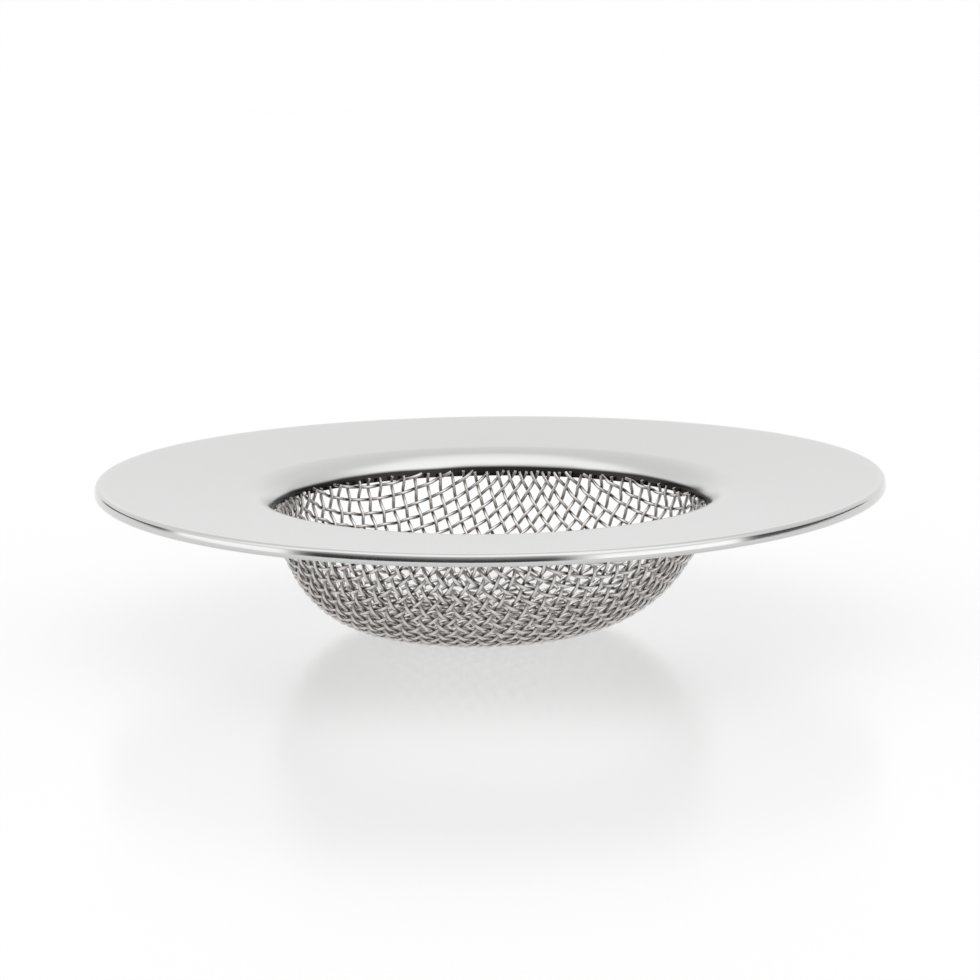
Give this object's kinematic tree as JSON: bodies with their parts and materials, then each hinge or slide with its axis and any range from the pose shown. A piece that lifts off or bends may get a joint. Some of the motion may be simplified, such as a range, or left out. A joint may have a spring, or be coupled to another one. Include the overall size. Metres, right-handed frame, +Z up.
{
  "type": "sink strainer",
  "caption": "Round sink strainer: a broad pressed-steel rim with a rolled edge carries a bowl of plain-woven steel wire that catches scraps over a drain.",
  "frame": {"origin": "on the axis of the round rim, at the level that the lowest wires stand on", "axes": "+Z up along the axis; the cloth's wires run at 34 degrees to X and Y"},
  "size_m": [0.114, 0.114, 0.0223],
  "materials": {
    "rim_steel": "satin pressed stainless steel with a brighter shoulder and rolled edge",
    "wire_steel": "drawn stainless wire, bright"
  },
  "bodies": {
    "root": {"rim": "rim_steel", "warp_pair_01": "wire_steel", "warp_pair_02": "wire_steel", "warp_pair_03": "wire_steel", "warp_pair_04": "wire_steel", "warp_pair_05": "wire_steel", "warp_pair_06": "wire_steel", "warp_pair_07": "wire_steel", "warp_pair_08": "wire_steel", "warp_pair_09": "wire_steel", "warp_pair_10": "wire_steel", "warp_pair_11": "wire_steel", "warp_pair_12": "wire_steel", "warp_pair_13": "wire_steel", "warp_pair_14": "wire_steel", "warp_pair_15": "wire_steel", "warp_pair_16": "wire_steel", "warp_pair_17": "wire_steel", "warp_pair_18": "wire_steel", "warp_pair_19": "wire_steel", "warp_pair_20": "wire_steel", "weft_pair_01": "wire_steel", "weft_pair_02": "wire_steel", "weft_pair_03": "wire_steel", "weft_pair_04": "wire_steel", "weft_pair_05": "wire_steel", "weft_pair_06": "wire_steel", "weft_pair_07": "wire_steel", "weft_pair_08": "wire_steel", "weft_pair_09": "wire_steel", "weft_pair_10": "wire_steel", "weft_pair_11": "wire_steel", "weft_pair_12": "wire_steel", "weft_pair_13": "wire_steel", "weft_pair_14": "wire_steel", "weft_pair_15": "wire_steel", "weft_pair_16": "wire_steel", "weft_pair_17": "wire_steel", "weft_pair_18": "wire_steel", "weft_pair_19": "wire_steel", "weft_pair_20": "wire_steel"}
  },
  "joints": []
}
